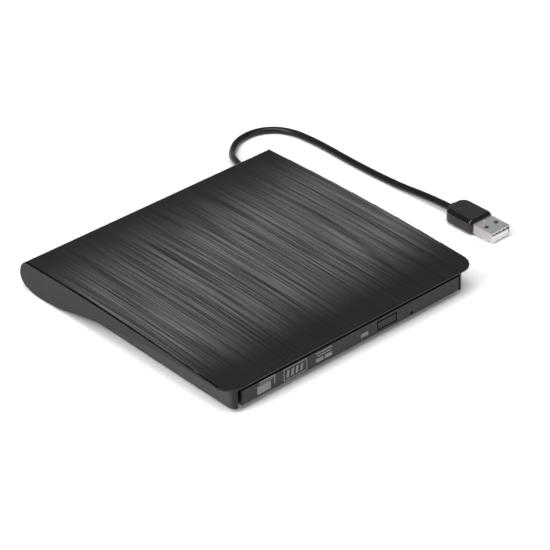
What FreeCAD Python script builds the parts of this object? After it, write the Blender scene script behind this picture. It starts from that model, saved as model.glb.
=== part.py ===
import FreeCAD, Part
import math
import os
import re
import Sketcher

# External optical drive: a slim tray-loading disc drive in a thin two-part case, with a captive
# cord ending in a USB type A plug.  Millimetres.  +Z is up, the tray opens towards -Y, X runs
# across the drive, and the origin is on the resting plane below the middle of the case.

SIZES = [
    # top cover: a crowned wing whose rear end curls down and under
    ("cover_wide", 146.0), ("cover_front", -71.5), ("cover_skin", 1.3),
    ("lip_under", 13.7), ("lip_top", 14.4), ("crown_radius", 1330.0),
    ("nose_top_y", 66.5), ("nose_top_z", 15.7), ("nose_radius", 8.9),
    ("nose_tip_y", 71.5), ("nose_tip_z", 7.74), ("chin_radius", 5.8),
    ("chin_y", 67.7), ("chin_z", 2.3), ("keel_radius", 28.0),
    ("keel_y", 58.1), ("keel_z", 0.6), ("belly_radius", 83.7),
    ("belly_y", 38.0), ("belly_z", 3.05), ("wing_radius", 336.0), ("wing_y", -45.0),
    ("front_corner", 8.0), ("cover_edge", 0.6),
    # inside of the cover
    ("hollow_start", -80.0), ("hollow_start_z", 12.55), ("hollow_low", -5.0),
    ("hollow_crown", 1328.7), ("hollow_top_y", 65.9), ("hollow_top_z", 14.45),
    ("hollow_nose", 7.6), ("hollow_tip_y", 70.2), ("hollow_chin", 4.5),
    ("hollow_chin_y", 67.25), ("hollow_chin_z", 3.52), ("hollow_keel", 26.7),
    ("seam_y", 66.0), ("seam_z", 3.1),
    # bottom shell
    ("shell_half", 68.0), ("shell_inner_half", 66.5), ("shell_wide_half", 71.3),
    ("shell_front", -69.0), ("shell_wall_end", 54.0), ("shell_rear", 65.8),
    ("shell_under", 2.4), ("shell_floor", 3.4), ("shell_top", 13.7),
    ("bend_y", 40.83), ("rear_under", 1.68), ("hull_high", 20.0),
    ("bay_bend_y", 41.93), ("bay_belly", 82.5), ("bay_keel_z", 1.8),
    ("bay_keel", 26.8), ("bay_rear", 66.4), ("bay_rear_z", 3.11),
    ("mouth_left", -65.5), ("mouth_right", 65.2), ("floor_front", -65.7),
    ("column_rear", -66.0), ("shell_corner", 3.5), ("widening_y", 38.0),
    # fixings of the case
    ("boss_x", 68.2), ("boss_y", 57.5), ("boss_radius", 2.6), ("boss_top", 8.0),
    ("cover_boss_radius", 2.2), ("cover_boss_top", 15.0), ("cover_bore_top", 12.6),
    ("screw_radius", 1.0), ("screw_hole", 1.1), ("case_head_radius", 1.9),
    ("head_pocket_radius", 2.0), ("case_head_low", 1.0), ("case_head_top", 2.4),
    ("case_screw_top", 12.0), ("cross_wide", 0.5), ("cross_long", 2.4), ("cross_deep", 0.6),
    ("hook_inner", 65.3), ("hook_outer", 66.4), ("hook_reach", 67.3), ("hook_low", 10.0),
    ("hook_nib_top", 11.1), ("hook_front_top", 16.0), ("hook_rear_top", 15.9), ("hook_half", 3.0),
    ("slot_half", 3.5), ("slot_low", 9.7), ("slot_top", 11.5), ("hook_front_y", 5.0),
    ("hook_rear_y", 32.0),
    # feet
    ("foot_x", 56.0), ("foot_y", -56.0), ("foot_radius", 5.0), ("foot_edge", 0.6),
    ("pad_near", 46.0), ("pad_far", 62.0), ("pad_front", 54.5), ("pad_rear", 62.5),
    ("pad_high", 1.6),
    # casing of the slim drive
    ("drive_mid", 0.6), ("drive_half", 64.0), ("drive_front", -66.2), ("drive_rear", 59.8),
    ("pan_top", 3.9), ("pan_wall", 0.5), ("lid_low", 12.0), ("lid_top", 12.4),
    ("sata_left", -0.5), ("sata_right", 32.5), ("sata_hole_top", 6.8),
    ("collar_radius", 1.6), ("collar_top", 5.9), ("stand_radius", 2.4), ("stand_top", 4.3),
    ("drive_head_top", 3.0), ("drive_screw_top", 5.6),
    ("fix_one_x", -50.0), ("fix_one_y", 32.0), ("fix_two_x", -2.0), ("fix_two_y", 31.0),
    ("fix_three_x", 28.0), ("fix_three_y", 36.0), ("rib_x", 39.0), ("rib_thick", 1.2),
    ("rib_front", 43.0), ("rib_rear", 57.0),
    ("lug_long", 4.0), ("lug_low", 11.5), ("lug_front_y", -58.0), ("lug_rear_y", 50.0),
    ("small_radius", 0.8), ("small_head_radius", 1.4), ("small_head_high", 0.4),
    ("small_screw_low", 11.2),
    # runners: guide fixed to the casing, rail between guide and tray
    ("guide_front", -60.0), ("guide_rear", 58.0), ("guide_back", 62.7), ("guide_base_edge", 60.6),
    ("guide_lip_edge", 61.5), ("guide_base_top", 4.4), ("guide_lip_low", 6.7),
    ("guide_top", 7.2), ("rail_front", -62.0), ("rail_rear", 54.0), ("rail_outer", 62.4),
    ("rail_web", 61.8), ("rail_edge", 59.9), ("rail_low", 4.65), ("rail_slot_low", 5.0),
    ("rail_slot_top", 6.1), ("rail_top", 6.45),
    # tray
    ("tray_front", -66.5), ("tray_rear", 57.5), ("tray_half", 63.0), ("tray_wing_low", 7.5),
    ("tray_top", 10.2), ("deck_low", 6.9), ("deck_half", 59.3), ("beam_inner", 57.1),
    ("beam_low", 4.5), ("tongue_edge", 61.2), ("tongue_low", 5.25), ("tongue_top", 5.85),
    ("tray_wall_rear", -64.9), ("hub_y", -4.4), ("disc_recess_radius", 60.5),
    ("disc_recess_z", 7.8), ("small_recess_radius", 40.3), ("small_recess_z", 7.5),
    ("tray_corner", 5.0),
    # front panel of the tray with its button, lamp and release hole
    ("bezel_front", -69.0), ("bezel_low", 2.7), ("bezel_top", 10.8), ("bezel_edge", 0.7),
    ("button_left", 14.8), ("button_right", 25.6), ("button_low", 4.9), ("button_top", 8.5),
    ("button_gap", 0.4), ("button_front", -69.0), ("button_back", -66.2),
    ("button_flange_rear", -65.6), ("button_flange", 0.9), ("button_round", 0.6),
    ("lamp_left", 4.6), ("lamp_right", 8.9), ("lamp_low", 5.0), ("lamp_top", 7.0),
    ("lamp_rear", -65.3), ("pinhole_x", 35.1), ("pinhole_z", 4.4), ("pinhole_radius", 0.65),
    ("pocket_left", 2.5), ("pocket_right", 33.5), ("pocket_front", -65.2),
    ("pocket_rear", -63.5), ("pocket_top", 9.3), ("window_left", 13.2), ("window_right", 27.2),
    ("window_top", 9.5), ("board_thick", 0.8), ("front_board_low", 4.7),
    ("switch_half", 2.0), ("switch_mid", 20.2), ("switch_low", 5.2), ("switch_top", 8.2),
    ("switch_deep", 0.6), ("switch_tip", 0.2), ("switch_tip_radius", 0.9), ("switch_mid_z", 6.7),
    ("led_left", 5.95), ("led_right", 7.55), ("led_low", 5.4), ("led_top", 6.6),
    ("led_deep", 0.8),
    # disc motor and laser sled, drawn along their own direction and then turned under the disc
    ("traverse_turn", 135.0), ("plate_half", 21.0), ("plate_back", -14.5), ("plate_end", 58.5),
    ("plate_low", 4.7), ("plate_top", 5.3), ("plate_win_half", 19.3), ("plate_win_back", 15.0),
    ("plate_win_end", 56.5), ("block_low", 4.35), ("block_top", 7.0), ("block_half", 1.9),
    ("rod_radius", 0.9), ("rod_z", 5.6), ("rod_back", 13.0), ("rod_main_x", -13.0),
    ("rod_sub_x", 17.0), ("screw_x", -18.0), ("ear_x", 24.5), ("ear_back_y", -8.0),
    ("ear_front_y", 40.0), ("ear_half", 2.9), ("bush_radius", 2.4), ("bush_hole", 0.9),
    ("bush_head_radius", 1.5), ("bush_head_low", 4.3), ("bush_screw_top", 7.3),
    ("open_half", 21.5), ("open_back", -17.0), ("open_end", 59.0), ("open_nose_half", 9.0),
    ("open_nose_end", 66.0), ("cover_plate_low", 7.2), ("cover_plate_hole", 15.0),
    ("slot_x_half", 7.6), ("slot_start", 4.0), ("slot_end", 64.5),
    ("stator_radius", 9.0), ("stator_base_top", 5.7), ("sleeve_radius", 2.5),
    ("sleeve_low", 4.5), ("sleeve_top", 7.1), ("shaft_radius", 1.0), ("shaft_bore", 1.05),
    ("core_radius", 8.0), ("core_low", 5.9), ("core_top", 6.7), ("core_slot", 0.8),
    ("core_slot_start", 4.0), ("teeth", 9), ("cup_radius", 11.0), ("cup_wall", 1.2),
    ("magnet_inner", 8.5), ("magnet_low", 6.0), ("cup_low", 5.9), ("cup_ceiling", 7.4),
    ("cup_top", 7.8), ("shaft_low", 4.7), ("table_radius", 13.5), ("table_top", 8.3),
    ("pad_ring_inner", 10.5), ("pad_ring_outer", 13.3), ("disc_seat", 8.6),
    ("spigot_radius", 7.4), ("spigot_top", 10.4), ("spigot_edge", 0.6),
    ("jaw_low", 9.1), ("jaw_top", 10.0), ("jaw_nose_low", 9.75), ("jaw_half", 0.9),
    ("jaw_inner", 4.6), ("jaw_body_end", 7.0), ("jaw_end", 7.8), ("jaw_slot_half", 1.15),
    ("jaw_slot_inner", 3.9), ("jaw_slot_low", 8.85), ("jaw_slot_top", 10.25),
    ("sled_back", 15.5), ("sled_wing_end", 22.0), ("sled_nose_end", 30.0), ("sled_low", 4.3),
    ("sled_top", 6.9), ("sled_left", -15.4), ("sled_right", 18.9), ("sled_nose_half", 7.0),
    ("sled_rim_top", 7.4), ("sled_nose_low", 5.5), ("lens_y", 24.0), ("well_half", 5.0),
    ("well_low", 4.9),
    ("well_back", 18.6), ("well_end", 29.0), ("holder_half", 4.6), ("holder_back", 19.0),
    ("holder_end", 28.6), ("holder_low", 5.75), ("holder_top", 7.4), ("lens_radius", 2.2),
    ("lens_top", 8.0), ("lens_low", 7.2), ("rod_bore", 0.95),
    ("nut_left", -19.2), ("nut_end", 18.5), ("nut_low", 4.4), ("nut_top", 6.8),
    ("screw_bore", 1.05), ("screw_start", 5.5), ("motor_back", -4.0), ("motor_face", 8.0),
    ("motor_radius", 2.9), ("motor_low", 4.35), ("motor_top", 6.85), ("motor_bore_deep", 3.0),
    # sheet below the tray, latch, ejector
    ("sheet_low", 4.2), ("sheet_left", -10.0), ("sheet_half", 58.5), ("sheet_rear", 20.0),
    ("pin_x", 44.0), ("pin_y", 47.0), ("pin_radius", 1.0), ("pin_top", 6.3),
    ("pivot_x", 49.5), ("pivot_y", 40.0), ("pivot_radius", 0.8), ("pivot_low", 4.8),
    ("lever_low", 5.0), ("lever_top", 6.1), ("lever_eye", 1.9), ("lever_bore", 0.85),
    ("lever_left", 46.6), ("lever_right", 48.4), ("lever_end", 51.0), ("hook_tip_x", 45.6),
    ("hook_face_y", 49.0), ("coil_left", 46.5), ("coil_right", 55.5), ("coil_front", 22.0),
    ("coil_rear", 37.0), ("coil_low", 4.6), ("coil_top", 6.9),
    ("eject_x", 38.5), ("eject_z", 5.6), ("eject_half", 2.4), ("eject_front", 40.0),
    ("eject_rear", 52.0), ("eject_low", 4.6), ("eject_top", 6.9), ("plunger_radius", 0.8),
    ("plunger_front", 46.0), ("plunger_cap_front", 57.0), ("plunger_end", 59.0),
    ("plunger_cap_radius", 1.1), ("spring_radius", 0.98), ("spring_wire", 0.14),
    ("spring_half_turns", 9),
    # boards and connectors at the rear
    ("mb_left", -55.8), ("mb_right", 34.0), ("mb_front", 25.0), ("mb_rear", 58.8),
    ("mb_top", 5.1), ("mb_hole", 1.7), ("plug_left", 0.0), ("plug_right", 32.0),
    ("plug_front", 54.0), ("plug_rear", 60.0), ("plug_low", 4.1), ("plug_top", 6.5),
    ("ffc_left", -30.0), ("ffc_right", -18.0), ("ffc_front", 25.4), ("ffc_rear", 29.0),
    ("ffc_top", 6.2), ("ribbon_low", 3.95), ("ribbon_thick", 0.12), ("ribbon_end", -20.0),
    ("ribbon_slope", 22.6),
    ("bb_left", -6.0), ("bb_right", 54.0), ("bb_front", 60.3), ("bb_rear", 65.6),
    ("bb_low", 3.9), ("bb_top", 4.7), ("post_one_x", -3.0), ("post_two_x", 50.0),
    ("post_y", 63.2), ("post_radius", 1.7), ("post_screw_low", 2.6), ("socket_rear", 63.6),
    ("socket_low", 4.7), ("socket_top", 7.6),
    # chips: middle, width, depth and height of each, a to e on the drive's board, f to i on the bridge
    ("chip_a_x", -40.0), ("chip_a_y", 42.0), ("chip_a_wide", 12.0), ("chip_a_deep", 12.0),
    ("chip_a_high", 1.0), ("chip_b_x", -16.0), ("chip_b_y", 38.0), ("chip_b_wide", 8.0),
    ("chip_b_deep", 8.0), ("chip_b_high", 0.9), ("chip_c_x", 8.0), ("chip_c_y", 36.0),
    ("chip_c_wide", 7.0), ("chip_c_deep", 5.0), ("chip_c_high", 0.9), ("chip_d_x", 12.0),
    ("chip_d_y", 47.0), ("chip_d_wide", 5.0), ("chip_d_deep", 5.0), ("chip_d_high", 0.8),
    ("chip_e_x", -30.0), ("chip_e_y", 50.0), ("chip_e_wide", 4.0), ("chip_e_deep", 6.0),
    ("chip_e_high", 0.7), ("chip_f_x", 40.0), ("chip_f_y", 63.0), ("chip_f_wide", 5.0),
    ("chip_f_deep", 4.0), ("chip_f_high", 0.9), ("chip_g_x", 34.6), ("chip_g_y", 63.5),
    ("chip_g_wide", 2.0), ("chip_g_deep", 2.5), ("chip_g_high", 0.7), ("chip_h_x", 46.0),
    ("chip_h_y", 62.2), ("chip_h_wide", 1.6), ("chip_h_deep", 0.8), ("chip_h_high", 0.5),
    ("chip_i_x", 46.0), ("chip_i_y", 64.2), ("chip_i_wide", 1.6), ("chip_i_deep", 0.8),
    ("chip_i_high", 0.5),
    # cord outlet
    ("outlet_x", 61.0), ("outlet_z", 7.0), ("outlet_radius", 2.7), ("outlet_start", 66.8),
    ("outlet_end", 72.0), ("outlet_flange_radius", 3.3), ("outlet_flange_start", 65.6),
    ("cord_radius", 1.7), ("boot_end_radius", 2.1), ("boot_root", 1.0), ("boot_long", 4.8),
    ("lead_radius", 0.315), ("lead_spread", 0.7), ("lead_end_x", 52.4), ("lead_first_y", 61.4),
    ("lead_step", 1.1), ("lead_end_rise", 0.5),
    # plug at the end of the cord
    ("grip_wide", 14.8), ("grip_high", 8.0), ("grip_back", -18.0), ("grip_front", -38.0),
    ("grip_bevel", 1.6), ("grip_taper", 3.4), ("plug_x", 111.0), ("shell_wide", 12.0),
    ("shell_high", 4.5), ("shell_sheet", 0.3), ("shell_long", 12.0), ("shell_buried", 6.0),
    ("window_side", 2.2), ("window_deep", 2.2), ("window_x", 3.1), ("window_from_end", 5.2),
    ("tongue_wide", 11.3), ("tongue_high", 1.84), ("tongue_short", 0.6), ("contact_wide", 1.0),
    ("contact_thick", 0.12), ("contact_long", 7.4), ("contact_start", 1.1),
    ("contact_outer", 3.5), ("contact_inner", 1.0), ("dimple_radius", 0.55), ("dimple_deep", 0.15),
    ("dimple_from_grip", 1.7),
]
size = dict(SIZES)

# Middle line of the cord after it leaves the strain relief: it falls to the surface, turns back beside the
# case in a wide bend and runs forward to the back of the plug.
CORD = [
    (65.6, 84.6, 5.0), (72.4, 94.8, 2.2), (83.5, 103.0, 1.8), (97.8, 102.9, 1.8),
    (108.2, 92.8, 1.8), (110.2, 73.0, 1.8), (109.1, 46.0, 1.8), (109.9, 17.0, 1.8),
    (110.8, -3.0, 3.6), (111.0, -18.0, 4.0),
]

os.makedirs("parts", exist_ok=True)
doc = FreeCAD.newDocument("external_optical_drive")
sheet = doc.addObject("Spreadsheet::Sheet", "dims")
for row, (alias, amount) in enumerate(SIZES, start=1):
    sheet.set("A%d" % row, alias)
    sheet.set("B%d" % row, str(amount))
    sheet.setAlias("B%d" % row, alias)
doc.recompute()

nodes = []


def bound(text):
    """The same sum with every name pointing at its cell of the sheet."""
    return re.sub(r"[a-z][a-z_]*", lambda word: "dims." + word.group(0), text)


def amount_of(name):
    """The number in the sheet for a name that may carry a minus sign."""
    return -size[name[1:]] if name.startswith("-") else size[name]


def add(kind, stem):
    return doc.addObject(kind, stem)


def put(obj, x, y, z):
    """Bind the position of an object."""
    obj.setExpression("Placement.Base.x", bound(x))
    obj.setExpression("Placement.Base.y", bound(y))
    obj.setExpression("Placement.Base.z", bound(z))
    return obj


def box(x_low, x_high, y_low, y_high, z_low, z_high):
    obj = add("Part::Box", "block")
    obj.setExpression("Length", bound("(%s) - (%s)" % (x_high, x_low)))
    obj.setExpression("Width", bound("(%s) - (%s)" % (y_high, y_low)))
    obj.setExpression("Height", bound("(%s) - (%s)" % (z_high, z_low)))
    return put(obj, x_low, y_low, z_low)


AXIS_TURNS = {
    "z": FreeCAD.Rotation(),
    "y": FreeCAD.Rotation(FreeCAD.Vector(1, 0, 0), -90),
    "x": FreeCAD.Rotation(FreeCAD.Vector(0, 1, 0), 90),
}


def rod(axis, x, y, z, radius, low, high):
    """A cylinder along an axis between two positions on it; the other two place its middle line."""
    obj = add("Part::Cylinder", "round")
    obj.setExpression("Radius", bound(radius))
    obj.setExpression("Height", bound("(%s) - (%s)" % (high, low)))
    obj.Placement = FreeCAD.Placement(FreeCAD.Vector(), AXIS_TURNS[axis])
    start = {"x": x, "y": y, "z": z}
    start[axis] = low
    return put(obj, start["x"], start["y"], start["z"])


def fuse(*pieces):
    if len(pieces) == 1:
        return pieces[0]
    obj = add("Part::MultiFuse", "joined")
    obj.Shapes = list(pieces)
    return obj


def cut(base, *tools):
    obj = add("Part::Cut", "trimmed")
    obj.Base = base
    obj.Tool = fuse(*tools)
    return obj


def common(one, two):
    obj = add("Part::Common", "shared")
    obj.Base = one
    obj.Tool = two
    return obj


def group(*pieces):
    """Separate solids kept together as one sub-part."""
    obj = add("Part::Compound", "set")
    obj.Links = list(pieces)
    return obj


def rounded(base, radius, wanted, kind="Part::Fillet"):
    """Round (or bevel) the edges of a shape that a test picks out."""
    doc.recompute()
    width = size[radius]
    picked = [(n, width, width) for n, edge in enumerate(base.Shape.Edges, start=1) if wanted(edge)]
    obj = add(kind, "eased")
    obj.Base = base
    obj.Edges = picked
    return obj


def along(edge, axis):
    """True for a straight edge that runs along x, y or z."""
    if edge.Curve.TypeId != "Part::GeomLine":
        return False
    ends = [v.Point for v in edge.Vertexes]
    across = [n for n in ("x", "y", "z") if n != axis]
    return all(abs(getattr(ends[0], n) - getattr(ends[1], n)) < 1e-6 for n in across)


def middle(edge):
    return edge.BoundBox.Center


def outline(plane, corners, bends):
    """A body with a closed sketch on a base plane.

    corners are pairs of sheet names; bends gives the radius name for the side that starts at a
    corner, with '+' in front when the curve bulges to the left of the direction of travel.
    """
    body = add("PartDesign::Body", "form")
    sketch = body.newObject("Sketcher::SketchObject", "outline")
    flat = [o for o in body.Origin.OriginFeatures if o.Role == plane][0]
    sketch.AttachmentSupport = (flat, [""])
    sketch.MapMode = "FlatFace"
    points = [FreeCAD.Vector(amount_of(a), amount_of(b), 0) for a, b in corners]
    starts = []
    for n, first in enumerate(points):
        last = points[(n + 1) % len(points)]
        if n not in bends:
            sketch.addGeometry(Part.LineSegment(first, last), False)
            starts.append(1)
            continue
        radius = size[bends[n].lstrip("+")]
        chord = last - first
        left = FreeCAD.Vector(-chord.y, chord.x, 0).normalize()
        bulge = radius - math.sqrt(radius ** 2 - (chord.Length / 2) ** 2)
        side = 1 if bends[n].startswith("+") else -1
        crest = (first + last) / 2 + left * bulge * side
        sketch.addGeometry(Part.Arc(first, crest, last), False)
        starts.append(2 if side > 0 else 1)
    for n, (a, b) in enumerate(corners):
        after = (n + 1) % len(corners)
        sketch.addConstraint(Sketcher.Constraint("Coincident", n, 3 - starts[n], after, starts[after]))
    for n, (a, b) in enumerate(corners):
        for letter, name in (("X", a), ("Y", b)):
            number = sketch.addConstraint(
                Sketcher.Constraint("Distance" + letter, -1, 1, n, starts[n], amount_of(name))
            )
            sketch.renameConstraint(number, "corner%d%s" % (n, letter))
            sketch.setExpression("Constraints.corner%d%s" % (n, letter), bound(name))
    for n, name in bends.items():
        name = name.lstrip("+")
        number = sketch.addConstraint(Sketcher.Constraint("Radius", n, size[name]))
        sketch.renameConstraint(number, "bend%d" % n)
        sketch.setExpression("Constraints.bend%d" % n, bound(name))
    return body, sketch


def prism(plane, corners, bends, low, high):
    """The outline pushed out between two heights along the normal of its plane."""
    body, sketch = outline(plane, corners, bends)
    sketch.setExpression("AttachmentOffset.Base.z", bound(low))
    pad = body.newObject("PartDesign::Pad", "pad")
    pad.Profile = sketch
    pad.setExpression("Length", bound("(%s) - (%s)" % (high, low)))
    body.Tip = pad
    return body


def turned(obj):
    """Turn a piece of the disc motor and sled from its own direction to its place under the disc."""
    holder = group(obj)
    angle = FreeCAD.Rotation(FreeCAD.Vector(0, 0, 1), size["traverse_turn"])
    holder.Placement = FreeCAD.Placement(FreeCAD.Vector(), angle)
    holder.setExpression("Placement.Rotation.Angle", bound("traverse_turn"))
    return put(holder, "drive_mid", "hub_y", "0")


def node(label, obj):
    obj.Label = label
    nodes.append(obj)
    return obj


def flank(side, near, far):
    """Low and high x of a piece between two distances from the middle of the drive."""
    if side < 0:
        return "drive_mid - (%s)" % far, "drive_mid - (%s)" % near
    return "drive_mid + (%s)" % near, "drive_mid + (%s)" % far


def screw(x, y, head_low, head_high, tip, head_radius, shank_radius):
    """A screw standing upright with its head at the lower end and a cross in the head."""
    head = rod("z", x, y, "0", head_radius, head_low, head_high)
    shank = rod("z", x, y, "0", shank_radius, head_high, tip)
    bars = [
        box("%s - cross_long / 2" % x, "%s + cross_long / 2" % x,
            "%s - cross_wide / 2" % y, "%s + cross_wide / 2" % y,
            head_low, "%s + cross_deep" % head_low),
        box("%s - cross_wide / 2" % x, "%s + cross_wide / 2" % x,
            "%s - cross_long / 2" % y, "%s + cross_long / 2" % y,
            head_low, "%s + cross_deep" % head_low),
    ]
    return cut(fuse(head, shank), *bars)


# ---- case -----------------------------------------------------------------------------------
nose_corners = [
    ("cover_front", "lip_under"), ("cover_front", "lip_top"), ("nose_top_y", "nose_top_z"),
    ("nose_tip_y", "nose_tip_z"), ("chin_y", "chin_z"), ("keel_y", "keel_z"),
    ("belly_y", "belly_z"), ("wing_y", "lip_under"),
]
nose_bends = {
    1: "+crown_radius", 2: "+nose_radius", 3: "+chin_radius", 4: "+keel_radius",
    5: "+belly_radius", 6: "wing_radius",
}
hollow_corners = [
    ("hollow_start", "hollow_low"), ("hollow_start", "hollow_start_z"),
    ("hollow_top_y", "hollow_top_z"), ("hollow_tip_y", "nose_tip_z"),
    ("hollow_chin_y", "hollow_chin_z"), ("seam_y", "seam_z"), ("seam_y", "hollow_low"),
]
hollow_bends = {1: "+hollow_crown", 2: "+hollow_nose", 3: "+hollow_chin", 4: "+hollow_keel"}

wing = prism("YZ_Plane", nose_corners, nose_bends, "-cover_wide / 2", "cover_wide / 2")
plan = box("-cover_wide / 2", "cover_wide / 2", "cover_front", "nose_tip_y", "-1", "hull_high")
plan = rounded(plan, "front_corner", lambda e: along(e, "z") and middle(e).y < 0)
wing = common(wing, plan)


def crown_edge(edge):
    """The long upper edges of the wing and the curved ones at its front corners."""
    box_of = edge.BoundBox
    return (middle(edge).z > 14.2 and middle(edge).y < 20 and box_of.XLength < 60
            and box_of.ZLength < 3 and edge.Length > 5)


wing = rounded(wing, "cover_edge", crown_edge)
hollow_half = "cover_wide / 2 - cover_skin - 0.2"
hollow = prism("YZ_Plane", hollow_corners, hollow_bends, "-(%s)" % hollow_half, hollow_half)

bosses = []
bores = []
shell_bosses = []
shell_bores = []
case_screws = []
for side in ("-", ""):
    x = side + "boss_x"
    bosses.append(rod("z", x, "boss_y", "0", "cover_boss_radius", "boss_top", "cover_boss_top"))
    bores.append(rod("z", x, "boss_y", "0", "screw_radius", "boss_top", "cover_bore_top"))
    shell_bosses.append(rod("z", x, "boss_y", "0", "boss_radius", "keel_z + 0.4", "boss_top"))
    shell_bores.append(rod("z", x, "boss_y", "0", "screw_hole", "0", "boss_top"))
    shell_bores.append(rod("z", x, "boss_y", "0", "head_pocket_radius", "0", "case_head_top"))
    case_screws.append(screw(x, "boss_y", "case_head_low", "case_head_top", "case_screw_top",
                             "case_head_radius", "screw_radius"))
hooks = []
slots = []
for side in (-1, 1):
    for y, top in (("hook_front_y", "hook_front_top"), ("hook_rear_y", "hook_rear_top")):
        sign = "-" if side < 0 else ""
        near, far = ("hook_outer", "hook_inner") if side < 0 else ("hook_inner", "hook_outer")
        nib_near, nib_far = ("hook_reach", "hook_outer") if side < 0 else ("hook_outer", "hook_reach")
        hooks.append(box(sign + near, sign + far, "%s - hook_half" % y, "%s + hook_half" % y,
                         "hook_low", top))
        hooks.append(box(sign + nib_near, sign + nib_far, "%s - hook_half" % y,
                         "%s + hook_half" % y, "hook_low", "hook_nib_top"))
        low, high = ("-shell_half - 1", "-shell_inner_half + 0.05")
        if side > 0:
            low, high = ("shell_inner_half - 0.05", "shell_half + 1")
        slots.append(box(low, high, "%s - slot_half" % y, "%s + slot_half" % y,
                         "slot_low", "slot_top"))
outlet_bore = rod("y", "outlet_x", "0", "outlet_z", "outlet_radius", "60", "80")
top_cover = cut(fuse(cut(wing, hollow), *(bosses + hooks)), outlet_bore, *bores)
node("top_cover", top_cover)

hull_corners = [
    ("shell_front", "shell_under"), ("shell_front", "hull_high"), ("shell_rear", "hull_high"),
    ("shell_rear", "rear_under"), ("keel_y", "keel_z"), ("bend_y", "shell_under"),
]
bay_corners = [
    ("hollow_start", "shell_floor"), ("hollow_start", "hull_high"), ("bay_rear", "hull_high"),
    ("bay_rear", "bay_rear_z"), ("keel_y", "bay_keel_z"), ("bay_bend_y", "shell_floor"),
]
hull = prism("YZ_Plane", hull_corners, {3: "+keel_radius", 4: "+belly_radius"},
             "-shell_wide_half", "shell_wide_half")
front_plan = box("-shell_half", "shell_half", "shell_front", "shell_wall_end", "0", "shell_top")
front_plan = rounded(front_plan, "shell_corner", lambda e: along(e, "z") and middle(e).y < 0)
hull_plan = fuse(
    front_plan,
    box("-shell_wide_half", "shell_wide_half", "widening_y", "shell_rear", "0", "shell_top"))
bay = prism("YZ_Plane", bay_corners, {3: "+bay_keel", 4: "+bay_belly"},
            "-cover_wide / 2", "cover_wide / 2")
bay_plan = fuse(
    box("-shell_inner_half", "shell_inner_half", "column_rear", "shell_wall_end", "0", "30"),
    box("-cover_wide", "cover_wide", "shell_wall_end", "shell_rear + 2", "0", "30"),
    box("-cover_wide", "-shell_half", "widening_y - 1", "shell_rear + 2", "0", "30"),
    box("shell_half", "cover_wide", "widening_y - 1", "shell_rear + 2", "0", "30"))
mouth = fuse(
    box("mouth_left", "mouth_right", "shell_front - 1", "column_rear", "0", "30"),
    box("-shell_inner_half", "shell_inner_half", "column_rear", "floor_front", "0", "30"))
shell = cut(common(hull, hull_plan), common(bay, bay_plan), mouth)
posts = [rod("z", x, "post_y", "0", "post_radius", "bay_keel_z - 0.3", "bb_low")
         for x in ("post_one_x", "post_two_x")]
post_bores = [rod("z", x, "post_y", "0", "small_radius", "post_screw_low", "bb_low")
              for x in ("post_one_x", "post_two_x")]
fix_points = [("fix_one_x", "fix_one_y"), ("fix_two_x", "fix_two_y"), ("fix_three_x", "fix_three_y")]
floor_holes = []
drive_screws = []
for x, y in fix_points:
    floor_holes.append(rod("z", x, y, "0", "screw_hole", "0", "shell_floor + 1"))
    floor_holes.append(rod("z", x, y, "0", "head_pocket_radius", "0", "drive_head_top - 0.1"))
ribs = [box("%s - rib_thick / 2" % x, "%s + rib_thick / 2" % x, "rib_front", "rib_rear",
            "bay_keel_z - 0.4", "shell_floor") for x in ("-rib_x", "rib_x")]
shell = cut(fuse(shell, *(shell_bosses + posts + ribs)), *(shell_bores + post_bores + floor_holes + slots))
node("bottom_shell", shell)
node("case_screws", group(*case_screws))

front_feet = []
for x in ("-foot_x", "foot_x"):
    foot = rod("z", x, "foot_y", "0", "foot_radius", "0", "shell_under")
    front_feet.append(rounded(foot, "foot_edge", lambda e: e.BoundBox.ZMax < 0.01, "Part::Chamfer"))
node("front_feet", group(*front_feet))
rear_pads = [box("pad_near", "pad_far", "pad_front", "pad_rear", "0", "pad_high"),
             box("-pad_far", "-pad_near", "pad_front", "pad_rear", "0", "pad_high")]
node("rear_feet", group(*[cut(pad, hull) for pad in rear_pads]))

# ---- casing of the slim drive -----------------------------------------------------------------
left, right = "drive_mid - drive_half", "drive_mid + drive_half"
pan = cut(
    box(left, right, "drive_front", "drive_rear", "shell_floor", "lid_low"),
    box("%s + pan_wall" % left, "%s - pan_wall" % right, "drive_front - 1",
        "drive_rear - pan_wall", "pan_top", "lid_low + 1"),
    box("sata_left", "sata_right", "drive_rear - 1", "drive_rear + 1", "pan_top", "sata_hole_top"))
extras = []
pan_holes = []
for x, y in fix_points:
    extras.append(rod("z", x, y, "0", "stand_radius", "pan_top", "stand_top"))
    extras.append(rod("z", x, y, "0", "collar_radius", "pan_top", "collar_top"))
    pan_holes.append(rod("z", x, y, "0", "screw_radius", "shell_floor - 1", "collar_top + 1"))
    drive_screws.append(screw(x, y, "shell_under + 0.05", "drive_head_top - 0.1",
                              "drive_screw_top", "case_head_radius", "screw_radius"))
lid_holes = []
small_screws = []
for side in (-1, 1):
    for y in ("lug_front_y", "lug_rear_y"):
        x_low, x_high = flank(side, "drive_half - pan_wall - lug_long", "drive_half - pan_wall")
        x_mid = "(%s + %s) / 2" % (x_low, x_high)
        extras.append(box(x_low, x_high, "%s - lug_long / 2" % y, "%s + lug_long / 2" % y,
                          "lug_low", "lid_low"))
        hole = rod("z", x_mid, y, "0", "small_radius", "lug_low - 1", "lid_top + 1")
        pan_holes.append(hole)
        lid_holes.append(rod("z", x_mid, y, "0", "small_radius", "lug_low - 1", "lid_top + 1"))
        small_screws.append(fuse(
            rod("z", x_mid, y, "0", "small_radius", "small_screw_low", "lid_top"),
            rod("z", x_mid, y, "0", "small_head_radius", "lid_top", "lid_top + small_head_high")))
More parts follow.
